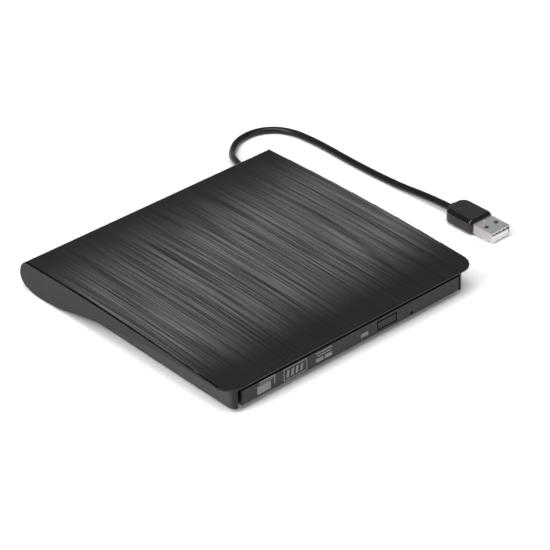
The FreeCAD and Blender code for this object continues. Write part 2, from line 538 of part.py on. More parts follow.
for x in ("post_one_x", "post_two_x"):
    small_screws.append(fuse(
        rod("z", x, "post_y", "0", "small_radius", "post_screw_low", "bb_top"),
        rod("z", x, "post_y", "0", "small_head_radius", "bb_top", "bb_top + small_head_high")))
node("drive_pan", cut(fuse(pan, *extras), *pan_holes))
node("drive_lid", cut(box(left, right, "drive_front", "drive_rear", "lid_low", "lid_top"),
                      *lid_holes))
node("drive_screws", group(*drive_screws))
node("small_screws", group(*small_screws))
node("latch_pin", rod("z", "pin_x", "pin_y", "0", "pin_radius", "pan_top", "pin_top"))

for side, name in ((-1, "left"), (1, "right")):
    base_x = flank(side, "guide_base_edge", "drive_half - pan_wall")
    lip_x = flank(side, "guide_lip_edge", "drive_half - pan_wall")
    back_x = flank(side, "guide_back", "drive_half - pan_wall")
    guide = fuse(
        box(*base_x, "guide_front", "guide_rear", "pan_top", "guide_base_top"),
        box(*back_x, "guide_front", "guide_rear", "pan_top", "guide_top"),
        box(*lip_x, "guide_front", "guide_rear", "guide_lip_low", "guide_top"))
    node("rail_guide_" + name, guide)
    rail = cut(
        box(*flank(side, "rail_edge", "rail_outer"), "rail_front", "rail_rear",
            "rail_low", "rail_top"),
        box(*flank(side, "rail_edge - 1", "rail_web"), "rail_front - 1", "rail_rear + 1",
            "rail_slot_low", "rail_slot_top"))
    node("rail_" + name, rail)

# ---- tray -------------------------------------------------------------------------------------
open_corners = [
    ("-open_half", "open_back"), ("open_half", "open_back"), ("open_half", "open_end"),
    ("open_nose_half", "open_end"), ("open_nose_half", "open_nose_end"),
    ("-open_nose_half", "open_nose_end"), ("-open_nose_half", "open_end"),
    ("-open_half", "open_end"),
]


def turned_opening(low, high):
    return turned(prism("XY_Plane", open_corners, {}, low, high))


rim = box("drive_mid - tray_half", "drive_mid + tray_half", "tray_front", "tray_rear",
          "tray_wing_low", "tray_top")
rim = rounded(rim, "tray_corner", lambda e: along(e, "z") and middle(e).y > 0)
tray_solids = [
    rim,
    box("drive_mid - deck_half", "drive_mid + deck_half", "tray_front", "tray_rear",
        "deck_low", "disc_recess_z"),
    box("drive_mid - deck_half", "drive_mid + deck_half", "tray_front", "tray_wall_rear",
        "beam_low", "deck_low"),
    rod("z", "pivot_x", "pivot_y", "0", "pivot_radius", "pivot_low", "deck_low"),
]
for side in (-1, 1):
    tray_solids.append(box(*flank(side, "beam_inner", "deck_half"), "tray_front", "tray_rear",
                           "beam_low", "deck_low"))
    tray_solids.append(box(*flank(side, "deck_half - 0.2", "tongue_edge"), "rail_front", "rail_rear",
                           "tongue_low", "tongue_top"))
tray = cut(
    fuse(*tray_solids),
    rod("z", "drive_mid", "hub_y", "0", "disc_recess_radius", "disc_recess_z", "hull_high"),
    rod("z", "drive_mid", "hub_y", "0", "small_recess_radius", "small_recess_z", "hull_high"),
    turned_opening("beam_low", "disc_recess_z"),
    box("pocket_left", "pocket_right", "pocket_front", "pocket_rear", "beam_low - 1", "pocket_top"),
    box("window_left", "window_right", "tray_front - 1", "pocket_front + 0.1",
        "beam_low - 1", "window_top"),
    box("lamp_left", "lamp_right", "tray_front - 1", "pocket_front + 0.1", "lamp_low", "lamp_top"),
    rod("y", "pinhole_x", "0", "pinhole_z", "pinhole_radius + 0.3", "tray_front - 1", "-60"))
bush_spots = [(x, y) for x in ("-ear_x", "ear_x") for y in ("ear_back_y", "ear_front_y")]


def traverse_rods(radius, low, high):
    return [rod("z", x, y, "0", radius, low, high) for x, y in bush_spots]


tray = cut(tray, turned(fuse(*traverse_rods("small_radius", "deck_low - 1", "bush_screw_top"))))
node("tray", tray)

bezel = box(left, right, "bezel_front", "tray_front", "bezel_low", "bezel_top")
bezel = rounded(bezel, "bezel_edge",
                lambda e: abs(middle(e).y - size["bezel_front"]) < 0.01 or (
                    along(e, "y") and abs(middle(e).x) > 60))
button_hole = box("button_left - button_gap", "button_right + button_gap", "bezel_front - 1",
                  "tray_front + 1", "button_low - button_gap", "button_top + button_gap")
button_hole = rounded(button_hole, "button_flange", lambda e: along(e, "y"))
node("bezel", cut(
    bezel, button_hole,
    box("lamp_left", "lamp_right", "bezel_front - 1", "tray_front + 1", "lamp_low", "lamp_top"),
    rod("y", "pinhole_x", "0", "pinhole_z", "pinhole_radius", "bezel_front - 1", "tray_front + 1")))
button_cap = box("button_left", "button_right", "button_front", "button_back + 0.1",
                 "button_low", "button_top")
button_cap = rounded(button_cap, "button_round", lambda e: along(e, "y"))
node("eject_button", fuse(button_cap, box(
    "button_left - button_flange", "button_right + button_flange", "button_back",
    "button_flange_rear", "button_low - button_flange / 2", "button_top + button_flange")))
node("light_pipe", box("lamp_left", "lamp_right", "bezel_front", "lamp_rear",
                       "lamp_low", "lamp_top"))
node("front_board", box("pocket_left + 0.5", "pocket_right - 0.5", "pocket_rear - board_thick",
                        "pocket_rear", "front_board_low", "pocket_top - 0.2"))
node("eject_switch", fuse(
    box("switch_mid - switch_half", "switch_mid + switch_half",
        "pocket_rear - board_thick - switch_deep", "pocket_rear - board_thick",
        "switch_low", "switch_top"),
    rod("y", "switch_mid", "0", "switch_mid_z", "switch_tip_radius",
        "pocket_rear - board_thick - switch_deep - switch_tip",
        "pocket_rear - board_thick - switch_deep")))
node("status_led", box("led_left", "led_right", "pocket_rear - board_thick - led_deep",
                       "pocket_rear - board_thick", "led_low", "led_top"))

# ---- disc motor and sled, under the disc -------------------------------------------------------
plate = box("-plate_half", "plate_half", "plate_back", "plate_end", "plate_low", "plate_top")
ears = [box("-ear_x - ear_half", "ear_x + ear_half", "%s - ear_half" % y, "%s + ear_half" % y,
            "plate_low", "plate_top") for y in ("ear_back_y", "ear_front_y")]
blocks = []
for y_low, y_high in (("rod_back", "plate_win_back"), ("plate_win_end", "plate_end")):
    for x in ("rod_main_x", "rod_sub_x"):
        blocks.append(box("%s - block_half" % x, "%s + block_half" % x, y_low, y_high,
                          "block_low", "block_top"))
blocks.append(box("screw_x - 1.5", "screw_x + 1.5", "plate_win_end", "plate_end",
                  "block_low", "block_top"))
plate_cuts = [
    box("-plate_win_half", "plate_win_half", "plate_win_back", "plate_win_end", "0", "plate_top + 1"),
    box("-plate_half - 1", "screw_x + motor_radius + 0.2", "motor_back - 0.2", "motor_face",
        "0", "block_top + 1"),
    rod("z", "0", "0", "0", "sleeve_radius", "0", "hull_high"),
    rod("y", "rod_main_x", "0", "rod_z", "rod_radius", "rod_back", "plate_end"),
    rod("y", "rod_sub_x", "0", "rod_z", "rod_radius", "rod_back", "plate_end"),
    rod("y", "screw_x", "0", "rod_z", "screw_bore", "motor_face - 1", "plate_end"),
] + traverse_rods("bush_hole", "0", "plate_top + 1")
node("traverse_plate", turned(cut(fuse(plate, *(ears + blocks)), *plate_cuts)))
node("damper_bushes", turned(group(*[
    cut(outer, inner) for outer, inner in zip(
        traverse_rods("bush_radius", "plate_top", "deck_low"),
        traverse_rods("bush_hole", "plate_low", "deck_low + 1"))])))
node("damper_screws", turned(group(*[
    fuse(head, shank) for head, shank in zip(
        traverse_rods("bush_head_radius", "bush_head_low", "plate_low"),
        traverse_rods("small_radius", "plate_low", "bush_screw_top"))])))
node("traverse_cover", turned(cut(
    prism("XY_Plane", open_corners, {}, "cover_plate_low", "small_recess_z"),
    rod("z", "0", "0", "0", "cover_plate_hole", "0", "hull_high"),
    box("-slot_x_half", "slot_x_half", "slot_start", "slot_end", "0", "hull_high"))))

stator = fuse(
    rod("z", "0", "0", "0", "stator_radius", "plate_top", "stator_base_top"),
    rod("z", "0", "0", "0", "sleeve_radius", "sleeve_low", "sleeve_top"),
    rod("z", "0", "0", "0", "core_radius", "core_low", "core_top"))
core_slots = []
for n in range(int(size["teeth"])):
    slot = box("core_slot_start", "core_radius + 1", "-core_slot / 2", "core_slot / 2",
               "core_low", "core_top + 1")
    holder = group(slot)
    holder.Placement = FreeCAD.Placement(
        FreeCAD.Vector(), FreeCAD.Rotation(FreeCAD.Vector(0, 0, 1), 360.0 * n / size["teeth"]))
    core_slots.append(holder)
node("spindle_stator", turned(cut(
    stator, rod("z", "0", "0", "0", "shaft_bore", "0", "hull_high"), *core_slots)))

jaw_turns = (90, 210, 330)


def jaw_shape(low, high, half, inner, end):
    return box(inner, end, "-%s" % half, half, low, high)


def spoke(obj, degrees):
    """Turn a piece drawn along +X to one of the three clamp directions."""
    holder = group(obj)
    holder.Placement = FreeCAD.Placement(
        FreeCAD.Vector(), FreeCAD.Rotation(FreeCAD.Vector(0, 0, 1), degrees))
    return holder


spigot = rod("z", "0", "0", "0", "spigot_radius", "table_top - 0.1", "spigot_top")
spigot = rounded(spigot, "spigot_edge", lambda e: e.BoundBox.ZMin > size["spigot_top"] - 0.01,
                 "Part::Chamfer")
cup = cut(
    rod("z", "0", "0", "0", "cup_radius", "cup_low", "cup_top"),
    rod("z", "0", "0", "0", "magnet_inner", "cup_low - 1", "cup_ceiling"),
    cut(rod("z", "0", "0", "0", "cup_radius - cup_wall", "cup_low - 1", "magnet_low"),
        rod("z", "0", "0", "0", "magnet_inner", "cup_low - 1", "magnet_low")))
rotor = cut(
    fuse(cup, rod("z", "0", "0", "0", "shaft_radius", "shaft_low", "cup_top"),
         rod("z", "0", "0", "0", "table_radius", "cup_top", "table_top"), spigot),
    *[spoke(jaw_shape("jaw_slot_low", "jaw_slot_top", "jaw_slot_half", "jaw_slot_inner",
                      "spigot_radius + 1"), d) for d in jaw_turns])
node("spindle_rotor", turned(rotor))
node("disc_pad_ring", turned(cut(
    rod("z", "0", "0", "0", "pad_ring_outer", "table_top", "disc_seat"),
    rod("z", "0", "0", "0", "pad_ring_inner", "table_top - 1", "disc_seat + 1"))))
for number, degrees in enumerate(jaw_turns, start=1):
    jaw = fuse(jaw_shape("jaw_low", "jaw_top", "jaw_half", "jaw_inner", "jaw_body_end"),
               jaw_shape("jaw_nose_low", "jaw_top", "jaw_half", "jaw_body_end - 0.1", "jaw_end"))
    node("clamp_jaw_%d" % number, turned(group(spoke(jaw, degrees))))

node("guide_rods", turned(group(
    rod("y", "rod_main_x", "0", "rod_z", "rod_radius", "rod_back", "plate_end"),
    rod("y", "rod_sub_x", "0", "rod_z", "rod_radius", "rod_back", "plate_end"))))
sled = cut(
    fuse(box("sled_left", "sled_right", "sled_back", "sled_wing_end", "sled_low", "sled_top"),
         box("-sled_nose_half", "sled_nose_half", "sled_back + 1.5", "sled_wing_end",
             "sled_low", "sled_rim_top"),
         box("-sled_nose_half", "sled_nose_half", "sled_wing_end - 0.1", "sled_nose_end",
             "sled_nose_low", "sled_rim_top")),
    rod("y", "rod_main_x", "0", "rod_z", "rod_bore", "rod_back", "plate_end"),
    rod("y", "rod_sub_x", "0", "rod_z", "rod_bore", "rod_back", "plate_end"),
    box("rod_sub_x", "sled_right + 1", "rod_back", "plate_end", "rod_z - rod_bore",
        "rod_z + rod_bore"),
    box("-well_half", "well_half", "well_back", "well_end", "well_low", "sled_rim_top + 1"))
node("pickup_sled", turned(sled))
node("lead_nut", turned(cut(
    box("nut_left", "sled_left", "sled_back", "nut_end", "nut_low", "nut_top"),
    rod("y", "screw_x", "0", "rod_z", "screw_bore", "rod_back", "plate_end"))))
node("lens_holder", turned(cut(
    box("-holder_half", "holder_half", "holder_back", "holder_end", "holder_low", "holder_top"),
    rod("z", "0", "lens_y", "0", "lens_radius", "lens_low", "hull_high"))))
node("objective_lens", turned(rod("z", "0", "lens_y", "0", "lens_radius", "lens_low", "lens_top")))
node("lead_screw", turned(rod("y", "screw_x", "0", "rod_z", "screw_bore - 0.05", "screw_start",
                              "plate_end")))
node("sled_motor", turned(cut(
    common(rod("y", "screw_x", "0", "rod_z", "motor_radius", "motor_back", "motor_face"),
           box("screw_x - motor_radius", "screw_x + motor_radius", "motor_back", "motor_face",
               "motor_low", "motor_top")),
    rod("y", "screw_x", "0", "rod_z", "screw_bore", "motor_face - motor_bore_deep",
        "motor_face + 1"))))

node("tray_sheet", cut(
    box("sheet_left", "sheet_half", "tray_wall_rear - 1", "sheet_rear", "sheet_low", "beam_low"),
    turned(box("-open_half - 7", "open_half + 7", "open_back - 2", "open_nose_end + 4",
               "0", "hull_high")),
    box("window_left", "window_right", "tray_front", "tray_wall_rear", "0", "hull_high")))

# ---- latch and ejector on the tray ---------------------------------------------------------------
node("latch_lever", cut(
    fuse(rod("z", "pivot_x", "pivot_y", "0", "lever_eye", "lever_low", "lever_top"),
         box("lever_left", "lever_right", "pivot_y", "lever_end", "lever_low", "lever_top"),
         box("hook_tip_x", "lever_right", "hook_face_y", "lever_end", "lever_low", "lever_top")),
    rod("z", "pivot_x", "pivot_y", "0", "lever_bore", "0", "hull_high")))
node("latch_solenoid", box("coil_left", "coil_right", "coil_front", "coil_rear",
                           "coil_low", "coil_top"))
node("ejector_housing", cut(
    box("eject_x - eject_half", "eject_x + eject_half", "eject_front", "eject_rear",
        "eject_low", "eject_top"),
    rod("y", "eject_x", "0", "eject_z", "plunger_radius", "plunger_front", "eject_rear + 1")))
node("ejector_plunger", fuse(
    rod("y", "eject_x", "0", "eject_z", "plunger_radius", "plunger_front", "plunger_end"),
    rod("y", "eject_x", "0", "eject_z", "plunger_cap_radius", "plunger_cap_front", "plunger_end")))

# Each half turn of the spring is a half circle in a leaning plane, so that it meets the next one in
# line and half a pitch further on.
coil_radius = size["spring_radius"]
half_turns = int(size["spring_half_turns"])
rise = (size["plunger_cap_front"] - size["eject_rear"] - 3 * size["spring_wire"]) / half_turns
coil = []
for n in range(half_turns):
    side = 1 if n % 2 == 0 else -1
    coil.append(Part.Arc(
        FreeCAD.Vector(side * coil_radius, 0, n * rise),
        FreeCAD.Vector(0, -side * math.hypot(coil_radius, rise / 2), (n + 0.5) * rise),
        FreeCAD.Vector(-side * coil_radius, 0, (n + 1) * rise)).toShape())
wire_ring = Part.Wire(Part.makeCircle(
    size["spring_wire"], FreeCAD.Vector(coil_radius, 0, 0), FreeCAD.Vector(0, 1, 0)))
spring = add("Part::Feature", "spring")
spring.Shape = Part.Wire(coil).makePipeShell([wire_ring], True, True)
spring.Placement = FreeCAD.Placement(FreeCAD.Vector(), AXIS_TURNS["y"])
put(spring, "eject_x", "eject_rear + 1.5 * spring_wire", "eject_z")
node("ejector_spring", spring)

# ---- boards and connectors at the rear -----------------------------------------------------------
node("main_board", cut(
    box("mb_left", "mb_right", "mb_front", "mb_rear", "stand_top", "mb_top"),
    box("plug_left", "plug_right", "plug_front", "mb_rear + 1", "0", "mb_top + 1"),
    *[rod("z", x, y, "0", "mb_hole", "0", "hull_high") for x, y in fix_points]))
node("sata_plug", box("plug_left", "plug_right", "plug_front", "plug_rear", "plug_low", "plug_top"))


def chip(letter, board_top):
    """A chip package standing on a board."""
    name = "chip_%s_" % letter
    return box("%sx - %swide / 2" % (name, name), "%sx + %swide / 2" % (name, name),
               "%sy - %sdeep / 2" % (name, name), "%sy + %sdeep / 2" % (name, name),
               board_top, "%s + %shigh" % (board_top, name))


node("main_board_chips", group(*[chip(letter, "mb_top") for letter in "abcde"]))
node("ffc_socket", box("ffc_left", "ffc_right", "ffc_front", "ffc_rear", "mb_top", "ffc_top"))
ribbon_run = box("ffc_left + 0.5", "ffc_right - 0.5", "ribbon_end", "ribbon_slope",
                 "ribbon_low", "ribbon_low + ribbon_thick")
ribbon_rise = box("ffc_left + 0.5", "ffc_right - 0.5", "ribbon_slope - ribbon_thick",
                  "ribbon_slope", "ribbon_low", "ffc_top - 0.5")
ribbon_top = box("ffc_left + 0.5", "ffc_right - 0.5", "ribbon_slope - ribbon_thick", "ffc_front",
                 "ffc_top - 0.5 - ribbon_thick", "ffc_top - 0.5")
node("flex_ribbon", fuse(ribbon_run, ribbon_rise, ribbon_top))

node("bridge_board", cut(
    box("bb_left", "bb_right", "bb_front", "bb_rear", "bb_low", "bb_top"),
    *[rod("z", x, "post_y", "0", "small_radius", "0", "hull_high")
      for x in ("post_one_x", "post_two_x")]))
node("bridge_socket", box("plug_left", "plug_right", "plug_rear", "socket_rear",
                          "socket_low", "socket_top"))
node("bridge_chips", group(*[chip(letter, "bb_top") for letter in "fghi"]))

# ---- cord ----------------------------------------------------------------------------------------
boot_start = FreeCAD.Vector(size["outlet_x"], size["outlet_end"] - size["boot_root"],
                            size["outlet_z"])
points = [FreeCAD.Vector(*p) for p in CORD]
boot_way = (points[0] - boot_start).normalize()
points.insert(0, boot_start + boot_way * size["boot_long"])
runs = [(b - a).Length for a, b in zip(points, points[1:])]
edges = []
here = points[0]
radii = []
for n in range(1, len(points) - 1):
    back_way = (points[n - 1] - points[n]).normalize()
    on_way = (points[n + 1] - points[n]).normalize()
    half_turn = (math.pi - back_way.getAngle(on_way)) / 2
    step = 0.45 * min(runs[n - 1], runs[n])
    bend = step / math.tan(half_turn)
    radii.append(bend)
    arc_in = points[n] + back_way * step
    arc_out = points[n] + on_way * step
    inward = (back_way + on_way).normalize()
    crest = points[n] + inward * (bend / math.cos(half_turn) - bend)
    edges.append(Part.LineSegment(here, arc_in).toShape())
    edges.append(Part.Arc(arc_in, crest, arc_out).toShape())
    here = arc_out
edges.append(Part.LineSegment(here, points[-1]).toShape())
path = Part.Wire(edges)
start_way = (points[1] - points[0]).normalize()
section = Part.Wire(Part.makeCircle(size["cord_radius"], points[0], start_way))
cord = add("Part::Feature", "cord")
cord.Shape = path.makePipeShell([section], True, True)
put(cord, "0", "0", "0")
node("usb_cable", cord)
print("cord bend radii:", [round(r, 1) for r in radii])
print("cord length: %.1f mm" % path.Length)
expected = path.Length * math.pi * size["cord_radius"] ** 2
print("cord volume: %.1f, straight tube: %.1f" % (cord.Shape.Volume, expected))

boot = add("Part::Feature", "boot")
boot.Shape = Part.makeCone(size["outlet_radius"], size["boot_end_radius"], size["boot_long"],
                           boot_start, boot_way)
put(boot, "0", "0", "0")
node("cable_grommet", cut(
    fuse(rod("y", "outlet_x", "0", "outlet_z", "outlet_radius", "outlet_flange_start",
             "outlet_end"),
         rod("y", "outlet_x", "0", "outlet_z", "outlet_flange_radius", "outlet_flange_start",
             "outlet_start"), boot),
    box("outlet_x - 5", "outlet_x + 5", "outlet_flange_start - 1", "outlet_flange_start",
        "0", "hull_high")))
leads = []
for n, (across, upward) in enumerate(((-1, -1), (1, -1), (-1, 1), (1, 1))):
    lead_start = FreeCAD.Vector(size["outlet_x"] + across * size["lead_spread"],
                                size["outlet_flange_start"] - 0.3,
                                size["outlet_z"] + upward * size["lead_spread"])
    lead_end = FreeCAD.Vector(size["lead_end_x"], size["lead_first_y"] + n * size["lead_step"],
                              size["bb_top"] + size["lead_end_rise"])
    lead_way = lead_end - lead_start
    lead = add("Part::Feature", "lead")
    lead.Shape = Part.makeCylinder(size["lead_radius"], lead_way.Length, lead_start, lead_way)
    leads.append(lead)
node("cable_leads", group(*leads))

# ---- plug ----------------------------------------------------------------------------------------
grip = box("plug_x - grip_wide / 2", "plug_x + grip_wide / 2", "grip_front", "grip_back",
           "0", "grip_high")
grip = rounded(grip, "grip_taper", lambda e: along(e, "z") and middle(e).y > -30, "Part::Chamfer")
grip = rounded(grip, "grip_bevel", lambda e: along(e, "y") or (
    middle(e).y > -30 and e.BoundBox.ZLength < 0.1), "Part::Chamfer")
shell_x = ("plug_x - shell_wide / 2", "plug_x + shell_wide / 2")
shell_z = ("(grip_high - shell_high) / 2", "(grip_high + shell_high) / 2")
shell_y = ("grip_front - shell_long", "grip_front + shell_buried")
grip_hole = box(*shell_x, "grip_front - 1", shell_y[1], *shell_z)
node("plug_grip", cut(grip, grip_hole))
windows = []
for x in ("plug_x - window_x", "plug_x + window_x"):
    windows.append(box(
        "%s - window_side / 2" % x, "%s + window_side / 2" % x,
        "grip_front - shell_long + window_from_end",
        "grip_front - shell_long + window_from_end + window_deep", "-1", "grip_high + 1"))
plug_shell = cut(
    box(*shell_x, *shell_y, *shell_z),
    box("plug_x - shell_wide / 2 + shell_sheet", "plug_x + shell_wide / 2 - shell_sheet",
        "grip_front - shell_long - 1", "grip_front + shell_buried - shell_sheet",
        "(grip_high - shell_high) / 2 + shell_sheet", "(grip_high + shell_high) / 2 - shell_sheet"),
    rod("z", "plug_x", "grip_front - dimple_from_grip", "0", "dimple_radius",
        "(grip_high + shell_high) / 2 - dimple_deep", "grip_high"),
    *windows)
node("plug_shell", plug_shell)
tongue_low = "(grip_high - shell_high) / 2 + shell_sheet"
node("plug_tongue", box(
    "plug_x - tongue_wide / 2", "plug_x + tongue_wide / 2",
    "grip_front - shell_long + tongue_short", "grip_front + shell_buried - shell_sheet",
    tongue_low, "%s + tongue_high" % tongue_low))
contacts = []
for x in ("-contact_outer", "-contact_inner", "contact_inner", "contact_outer"):
    contacts.append(box(
        "plug_x + (%s) - contact_wide / 2" % x, "plug_x + (%s) + contact_wide / 2" % x,
        "grip_front - shell_long + contact_start",
        "grip_front - shell_long + contact_start + contact_long",
        "%s + tongue_high" % tongue_low, "%s + tongue_high + contact_thick" % tongue_low))
node("plug_contacts", group(*contacts))

# ---- checks and export -----------------------------------------------------------------------------
doc.recompute()
for obj in doc.Objects:
    if "Invalid" in obj.State or "Error" in obj.State:
        raise RuntimeError("%s is in error" % obj.Label)
for obj in nodes:
    if obj.Shape.isNull() or not obj.Shape.isValid():
        raise RuntimeError("%s has no valid shape" % obj.Label)
    obj.Shape.exportStep("parts/%s.step" % obj.Label)
    bb = obj.Shape.BoundBox
    print("%-18s solids %d volume %9.2f x %.2f..%.2f y %.2f..%.2f z %.2f..%.2f" % (
        obj.Label, len(obj.Shape.Solids), obj.Shape.Volume,
        bb.XMin, bb.XMax, bb.YMin, bb.YMax, bb.ZMin, bb.ZMax))
print("sub-parts:", len(nodes))
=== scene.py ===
import math

import bmesh
import bpy
from mathutils import Matrix, Vector


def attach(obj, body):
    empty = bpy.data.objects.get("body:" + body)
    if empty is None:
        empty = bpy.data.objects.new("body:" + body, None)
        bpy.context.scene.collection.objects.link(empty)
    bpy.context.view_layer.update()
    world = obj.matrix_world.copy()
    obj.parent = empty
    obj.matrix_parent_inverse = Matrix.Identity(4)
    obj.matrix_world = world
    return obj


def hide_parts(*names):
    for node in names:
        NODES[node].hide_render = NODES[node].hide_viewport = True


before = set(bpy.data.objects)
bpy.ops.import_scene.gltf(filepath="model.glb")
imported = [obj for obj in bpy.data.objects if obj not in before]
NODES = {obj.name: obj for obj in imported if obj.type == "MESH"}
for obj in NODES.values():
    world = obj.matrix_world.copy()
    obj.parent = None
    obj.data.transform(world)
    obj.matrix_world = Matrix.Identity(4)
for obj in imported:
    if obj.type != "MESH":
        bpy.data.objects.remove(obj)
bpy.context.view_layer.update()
MM = 0.001

# where the button and the release hole sit on the front panel, in mm; their sizes also set the painted
# shade round the button and over the hole
BUTTON_X, BUTTON_Z, BUTTON_HALF_WIDE, BUTTON_HALF_HIGH = 20.2, 6.7, 5.4, 1.8
PINHOLE_X, PINHOLE_Z, PINHOLE_SHADE_RADIUS = 35.1, 4.4, 0.80
PANEL_FRONT = -69.0
PLUG_X = 111.0

# ---- camera ------------------------------------------------------------------------------------
EYE = Vector((-0.60377, -0.71354, 0.60685))
AZIMUTH, ELEVATION, ROLL = math.radians(-40.994), math.radians(32.689), math.radians(-1.409)

back = Vector((math.sin(AZIMUTH) * math.cos(ELEVATION), -math.cos(AZIMUTH) * math.cos(ELEVATION),
               math.sin(ELEVATION)))
level_right = (-back).cross(Vector((0, 0, 1))).normalized()
level_up = level_right.cross(-back)
right = level_right * math.cos(ROLL) + level_up * math.sin(ROLL)
up = level_up * math.cos(ROLL) - level_right * math.sin(ROLL)
camera_data = bpy.data.cameras.new("camera")
camera_data.sensor_width = 36.0
camera_data.lens = 162.59
camera_data.clip_start, camera_data.clip_end = 0.05, 30.0  # metres
camera = bpy.data.objects.new("camera", camera_data)
bpy.context.scene.collection.objects.link(camera)
camera.matrix_world = Matrix((
    (right.x, up.x, back.x, EYE.x),
    (right.y, up.y, back.y, EYE.y),
    (right.z, up.z, back.z, EYE.z),
    (0, 0, 0, 1)))
bpy.context.scene.camera = camera


# ---- shader building ---------------------------------------------------------------------------
class Shader:
    """One node material; the methods add nodes and return their output sockets."""

    def __init__(self, name):
        self.material = bpy.data.materials.new(name)
        self.material.use_nodes = True
        self.tree = self.material.node_tree
        self.surface = self.tree.nodes["Principled BSDF"]
        self.place = self.tree.nodes.new("ShaderNodeTexCoord").outputs["Object"]

    def set(self, **amounts):
        for key, amount in amounts.items():
            self.surface.inputs[key.replace("_", " ")].default_value = amount
        return self

    def plug(self, output, key):
        self.tree.links.new(output, self.surface.inputs[key])

    def feed(self, socket, source):
        if isinstance(source, (int, float)):
            socket.default_value = source
        else:
            self.tree.links.new(source, socket)

    def stretched(self, scale):
        """Object position with each axis multiplied by scale, in 1/m."""
        mapping = self.tree.nodes.new("ShaderNodeMapping")
        mapping.inputs["Scale"].default_value = scale
        self.tree.links.new(self.place, mapping.inputs["Vector"])
        return mapping.outputs["Vector"]

    def noise(self, scale, detail=4.0, rough=0.55, vector=None):
        node = self.tree.nodes.new("ShaderNodeTexNoise")
        node.inputs["Scale"].default_value = scale
        node.inputs["Detail"].default_value = detail
        node.inputs["Roughness"].default_value = rough
        self.tree.links.new(vector or self.place, node.inputs["Vector"])
        return node.outputs["Fac"]

    def cells(self, scale, vector=None):
        node = self.tree.nodes.new("ShaderNodeTexVoronoi")
        node.inputs["Scale"].default_value = scale
        self.tree.links.new(vector or self.place, node.inputs["Vector"])
        return node.outputs["Distance"]

    def ramp(self, source, low, high, at=(0.3, 0.7)):
        """Number in, colour out: low below at[0], high above at[1]."""
        node = self.tree.nodes.new("ShaderNodeValToRGB")
        first, last = node.color_ramp.elements
        first.position, last.position = at
        first.color, last.color = tuple(low) + (1,), tuple(high) + (1,)
        self.tree.links.new(source, node.inputs["Fac"])
        return node.outputs["Color"]

    def spread(self, source, low, high, start=0.3, end=0.7):
        """Number in, number out, over a straight range."""
        node = self.tree.nodes.new("ShaderNodeMapRange")
        self.feed(node.inputs["Value"], source)
        node.inputs["From Min"].default_value = start
        node.inputs["From Max"].default_value = end
        node.inputs["To Min"].default_value = low
        node.inputs["To Max"].default_value = high
        return node.outputs["Result"]

    def ease(self, source, start, end):
        """0 at start rising smoothly to 1 at end; end may be the lower number."""
        node = self.tree.nodes.new("ShaderNodeMapRange")
        node.interpolation_type = "SMOOTHSTEP"
        flip = end < start
        self.feed(node.inputs["Value"], source)
        node.inputs["From Min"].default_value = min(start, end)
        node.inputs["From Max"].default_value = max(start, end)
        node.inputs["To Min"].default_value = 1.0 if flip else 0.0
        node.inputs["To Max"].default_value = 0.0 if flip else 1.0
        return node.outputs["Result"]

    def math(self, operation, first, second=0.0):
        node = self.tree.nodes.new("ShaderNodeMath")
        node.operation = operation
        self.feed(node.inputs[0], first)
        self.feed(node.inputs[1], second)
        return node.outputs["Value"]

    def beyond(self, source, centre, half):
        """How far a position lies outside a stretch of half length half round centre."""
        return self.math("SUBTRACT", self.math("ABSOLUTE", self.math("SUBTRACT", source, centre)), half)

    def blend(self, factor, first, second, kind="MIX"):
        """Mixes two colours, each a socket or a plain colour."""
        node = self.tree.nodes.new("ShaderNodeMix")
        node.data_type, node.blend_type = "RGBA", kind
        self.feed(node.inputs["Factor"], factor)
        for socket, source in ((node.inputs[6], first), (node.inputs[7], second)):
            if isinstance(source, tuple):
                socket.default_value = source + (1,)
            else:
                self.tree.links.new(source, socket)
        return node.outputs[2]

    def parts(self, output):
        node = self.tree.nodes.new("ShaderNodeSeparateXYZ")
        self.tree.links.new(output, node.inputs[0])
        return node.outputs

    def facing(self):
        """The way the surface faces, in the world, as three numbers."""
        return self.parts(self.tree.nodes.new("ShaderNodeNewGeometry").outputs["Normal"])

    def near_edge(self, radius, turn):
        """1 beside a sharp edge of the piece, 0 where the rounded normal agrees better than turn."""
        node = self.tree.nodes.new("ShaderNodeBevel")
        node.samples = 6
        node.inputs["Radius"].default_value = radius
        flat = self.tree.nodes.new("ShaderNodeNewGeometry").outputs["Normal"]
        dot = self.tree.nodes.new("ShaderNodeVectorMath")
        dot.operation = "DOT_PRODUCT"
        self.tree.links.new(node.outputs["Normal"], dot.inputs[0])
        self.tree.links.new(flat, dot.inputs[1])
        return self.spread(dot.outputs["Value"], 1.0, 0.0, turn - 0.055, turn)

    def relief(self, height, distance, strength=1.0):
        node = self.tree.nodes.new("ShaderNodeBump")
        node.inputs["Distance"].default_value = distance
        node.inputs["Strength"].default_value = strength
        self.tree.links.new(height, node.inputs["Height"])
        self.plug(node.outputs["Normal"], "Normal")


def grey(level):
    return (level, level, level)


def moulded(name, colour, rough=0.45, grain=0.35, depth=0.012, spread=0.12, coat=0.0,
             gloss=0.28):
    """Spark-eroded plastic: a fine pebble grain, slow colour drift and uneven gloss."""
    s = Shader(name)
    s.set(IOR=1.5, Specular_IOR_Level=gloss, Coat_Weight=coat, Coat_Roughness=0.08)
    drift = s.noise(70.0, 5.0)
    low = tuple(c * (1 - spread) for c in colour)
    high = tuple(min(1.0, c * (1 + spread)) for c in colour)
    s.plug(s.ramp(drift, low, high), "Base Color")
    pebble = s.noise(1.0 / (grain * MM), 3.0, 0.6)
    smudge = s.noise(160.0, 4.0, 0.6)
    s.plug(s.spread(s.math("ADD", s.math("MULTIPLY", pebble, 0.5), s.math("MULTIPLY", smudge, 0.5)),
                    rough - 0.07, rough + 0.09), "Roughness")
    s.relief(pebble, depth * MM)
    return s.material


